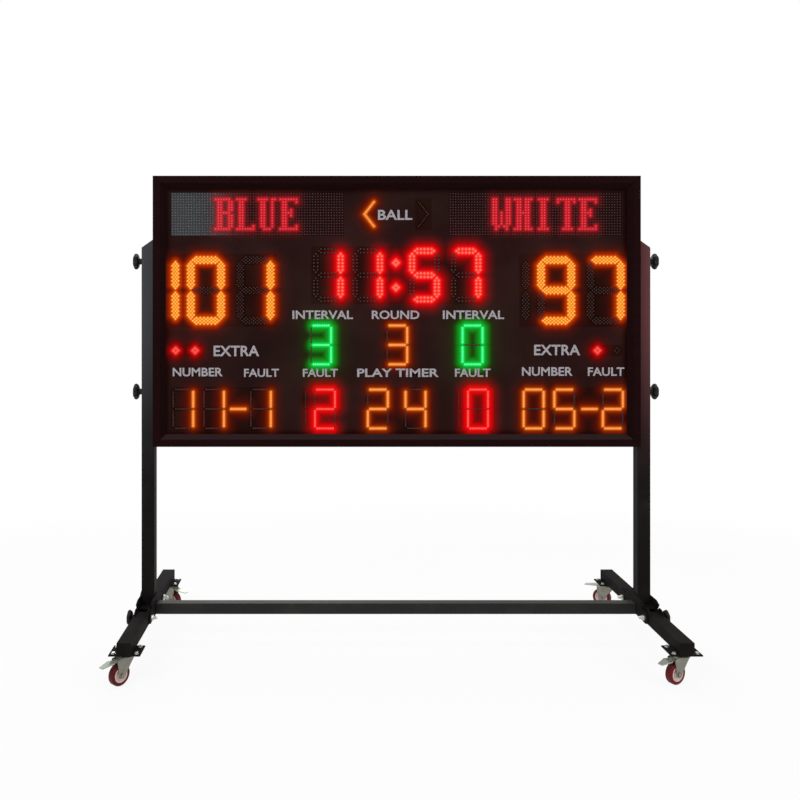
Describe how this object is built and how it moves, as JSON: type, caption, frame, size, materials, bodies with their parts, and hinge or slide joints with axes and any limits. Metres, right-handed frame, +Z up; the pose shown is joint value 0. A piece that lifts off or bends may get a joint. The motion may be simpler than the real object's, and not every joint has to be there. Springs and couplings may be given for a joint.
{
  "type": "electronic scoreboard",
  "caption": "Wheeled electronic sports scoreboard: lamp digits in a wide framed cabinet, clamped by hand knobs between two uprights on a folding stand with braked casters.",
  "frame": {"origin": "on the floor under the middle of the whole object", "axes": "+Z up, the display faces -Y, +X is to the viewer's right"},
  "size_m": [1.9793, 0.8713, 1.735],
  "materials": {
    "frame_coat": "satin black powder coat",
    "face": "matte maroon-black face sheet",
    "sheet": "folded sheet, black powder coat",
    "stand_coat": "satin black powder-coated steel tube",
    "led_amber": "amber lamps on a black board",
    "led_red": "red lamps on a black board",
    "led_green": "green lamps on a black board",
    "matrix": "louvred grey-black lamp matrix",
    "zinc": "bright zinc plate, slightly yellow-green",
    "tread": "dark red polyurethane tread",
    "hub": "pale pinkish-cream moulded hub",
    "black_plastic": "moulded black plastic",
    "red_plastic": "red switch rocker",
    "supply_case": "perforated metal case, taken at its mean density",
    "circuit_board": "green circuit board"
  },
  "bodies": {
    "stand_and_cabinet": {"front_frame": "frame_coat", "face_panel": "face", "cabinet_shell": "sheet", "rear_cover": "sheet", "home_name_matrix": "matrix", "guest_name_matrix": "matrix", "possession_board": "led_amber", "home_score_board": "led_amber", "clock_board": "led_red", "guest_score_board": "led_amber", "timeout_and_period_board": "led_green", "home_lower_board": "led_amber", "shot_clock_board": "led_amber", "guest_lower_board": "led_amber", "power_supply_left": "supply_case", "power_supply_right": "supply_case", "controller_board": "circuit_board", "buzzer_horn": "black_plastic", "power_inlet": "black_plastic", "crossbar": "stand_coat", "left_upright": "stand_coat", "left_foot_centre": "stand_coat", "right_upright": "stand_coat", "right_foot_centre": "stand_coat"},
    "power_rocker": {"rocker_switch": "red_plastic"},
    "left_upper_knob_body": {"left_upper_knob": "black_plastic"},
    "left_lower_knob_body": {"left_lower_knob": "black_plastic"},
    "right_upper_knob_body": {"right_upper_knob": "black_plastic"},
    "right_lower_knob_body": {"right_lower_knob": "black_plastic"},
    "front_left_lock_knob_body": {"front_left_lock_knob": "black_plastic"},
    "front_left_foot": {"front_left_leg": "stand_coat", "front_left_caster_plate": "zinc"},
    "front_left_swivel": {"front_left_caster_fork": "zinc"},
    "front_left_wheel": {"front_left_wheel_tyre": "tread", "front_left_wheel_hub": "hub"},
    "front_left_brake": {"front_left_brake_pedal": "zinc"},
    "rear_left_lock_knob_body": {"rear_left_lock_knob": "black_plastic"},
    "rear_left_foot": {"rear_left_leg": "stand_coat", "rear_left_caster_plate": "zinc"},
    "rear_left_swivel": {"rear_left_caster_fork": "zinc"},
    "rear_left_wheel": {"rear_left_wheel_tyre": "tread", "rear_left_wheel_hub": "hub"},
    "rear_left_brake": {"rear_left_brake_pedal": "zinc"},
    "front_right_lock_knob_body": {"front_right_lock_knob": "black_plastic"},
    "front_right_foot": {"front_right_leg": "stand_coat", "front_right_caster_plate": "zinc"},
    "front_right_swivel": {"front_right_caster_fork": "zinc"},
    "front_right_wheel": {"front_right_wheel_tyre": "tread", "front_right_wheel_hub": "hub"},
    "front_right_brake": {"front_right_brake_pedal": "zinc"},
    "rear_right_lock_knob_body": {"rear_right_lock_knob": "black_plastic"},
    "rear_right_foot": {"rear_right_leg": "stand_coat", "rear_right_caster_plate": "zinc"},
    "rear_right_swivel": {"rear_right_caster_fork": "zinc"},
    "rear_right_wheel": {"rear_right_wheel_tyre": "tread", "rear_right_wheel_hub": "hub"},
    "rear_right_brake": {"rear_right_brake_pedal": "zinc"}
  },
  "joints": [
    {"name": "power_rocker_tilt", "type": "hinge", "parent": "stand_and_cabinet", "child": "power_rocker", "pos_m": [-0.684, 0.0308, 0.84], "axis": [1, 0, 0], "range_deg": [-7, 7]},
    {"name": "left_upper_knob_turn", "type": "hinge", "parent": "stand_and_cabinet", "child": "left_upper_knob_body", "pos_m": [-0.9243, 0, 1.422], "axis": [-1, 0, 0], "continuous": true},
    {"name": "left_lower_knob_turn", "type": "hinge", "parent": "stand_and_cabinet", "child": "left_lower_knob_body", "pos_m": [-0.9243, 0, 0.934], "axis": [-1, 0, 0], "continuous": true},
    {"name": "right_upper_knob_turn", "type": "hinge", "parent": "stand_and_cabinet", "child": "right_upper_knob_body", "pos_m": [0.9243, 0, 1.422], "axis": [1, 0, 0], "continuous": true},
    {"name": "right_lower_knob_turn", "type": "hinge", "parent": "stand_and_cabinet", "child": "right_lower_knob_body", "pos_m": [0.9243, 0, 0.934], "axis": [1, 0, 0], "continuous": true},
    {"name": "front_left_lock_knob_turn", "type": "hinge", "parent": "stand_and_cabinet", "child": "front_left_lock_knob_body", "pos_m": [-0.9243, -0.11, 0.125], "axis": [-1, 0, 0], "continuous": true},
    {"name": "front_left_leg_fold", "type": "hinge", "parent": "stand_and_cabinet", "child": "front_left_foot", "pos_m": [-0.9243, -0.11, 0.125], "axis": [-1, 0, 0], "range_deg": [0, 90]},
    {"name": "front_left_caster_swivel", "type": "hinge", "parent": "front_left_foot", "child": "front_left_swivel", "pos_m": [-0.9243, -0.3575, 0.09], "axis": [0, 0, 1], "continuous": true},
    {"name": "front_left_wheel_spin", "type": "hinge", "parent": "front_left_swivel", "child": "front_left_wheel", "pos_m": [-0.94444, -0.38237, 0.0365], "axis": [0.7771, -0.6293, 0], "continuous": true},
    {"name": "front_left_brake_press", "type": "hinge", "parent": "front_left_swivel", "child": "front_left_brake", "pos_m": [-0.95199, -0.39169, 0.084], "axis": [0.7771, -0.6293, 0], "range_deg": [0, 9]},
    {"name": "rear_left_lock_knob_turn", "type": "hinge", "parent": "stand_and_cabinet", "child": "rear_left_lock_knob_body", "pos_m": [-0.9243, 0.11, 0.125], "axis": [-1, 0, 0], "continuous": true},
    {"name": "rear_left_leg_fold", "type": "hinge", "parent": "stand_and_cabinet", "child": "rear_left_foot", "pos_m": [-0.9243, 0.11, 0.125], "axis": [1, 0, 0], "range_deg": [0, 90]},
    {"name": "rear_left_caster_swivel", "type": "hinge", "parent": "rear_left_foot", "child": "rear_left_swivel", "pos_m": [-0.9243, 0.3575, 0.09], "axis": [0, 0, 1], "continuous": true},
    {"name": "rear_left_wheel_spin", "type": "hinge", "parent": "rear_left_swivel", "child": "rear_left_wheel", "pos_m": [-0.89659, 0.3415, 0.0365], "axis": [0.5, 0.866, 0], "continuous": true},
    {"name": "rear_left_brake_press", "type": "hinge", "parent": "rear_left_swivel", "child": "rear_left_brake", "pos_m": [-0.88619, 0.3355, 0.084], "axis": [0.5, 0.866, 0], "range_deg": [0, 9]},
    {"name": "front_right_lock_knob_turn", "type": "hinge", "parent": "stand_and_cabinet", "child": "front_right_lock_knob_body", "pos_m": [0.9243, -0.11, 0.125], "axis": [1, 0, 0], "continuous": true},
    {"name": "front_right_leg_fold", "type": "hinge", "parent": "stand_and_cabinet", "child": "front_right_foot", "pos_m": [0.9243, -0.11, 0.125], "axis": [-1, 0, 0], "range_deg": [0, 90]},
    {"name": "front_right_caster_swivel", "type": "hinge", "parent": "front_right_foot", "child": "front_right_swivel", "pos_m": [0.9243, -0.3575, 0.09], "axis": [0, 0, 1], "continuous": true},
    {"name": "front_right_wheel_spin", "type": "hinge", "parent": "front_right_swivel", "child": "front_right_wheel", "pos_m": [0.89605, -0.37252, 0.0365], "axis": [0.4695, -0.8829, 0], "continuous": true},
    {"name": "front_right_brake_press", "type": "hinge", "parent": "front_right_swivel", "child": "front_right_brake", "pos_m": [0.88545, -0.37816, 0.084], "axis": [0.4695, -0.8829, 0], "range_deg": [0, 9]},
    {"name": "rear_right_lock_knob_turn", "type": "hinge", "parent": "stand_and_cabinet", "child": "rear_right_lock_knob_body", "pos_m": [0.9243, 0.11, 0.125], "axis": [1, 0, 0], "continuous": true},
    {"name": "rear_right_leg_fold", "type": "hinge", "parent": "stand_and_cabinet", "child": "rear_right_foot", "pos_m": [0.9243, 0.11, 0.125], "axis": [1, 0, 0], "range_deg": [0, 90]},
    {"name": "rear_right_caster_swivel", "type": "hinge", "parent": "rear_right_foot", "child": "rear_right_swivel", "pos_m": [0.9243, 0.3575, 0.09], "axis": [0, 0, 1], "continuous": true},
    {"name": "rear_right_wheel_spin", "type": "hinge", "parent": "rear_right_swivel", "child": "rear_right_wheel", "pos_m": [0.89874, 0.37676, 0.0365], "axis": [-0.6018, -0.7986, 0], "continuous": true},
    {"name": "rear_right_brake_press", "type": "hinge", "parent": "rear_right_swivel", "child": "rear_right_brake", "pos_m": [0.88916, 0.38398, 0.084], "axis": [-0.6018, -0.7986, 0], "range_deg": [0, 9]}
  ]
}
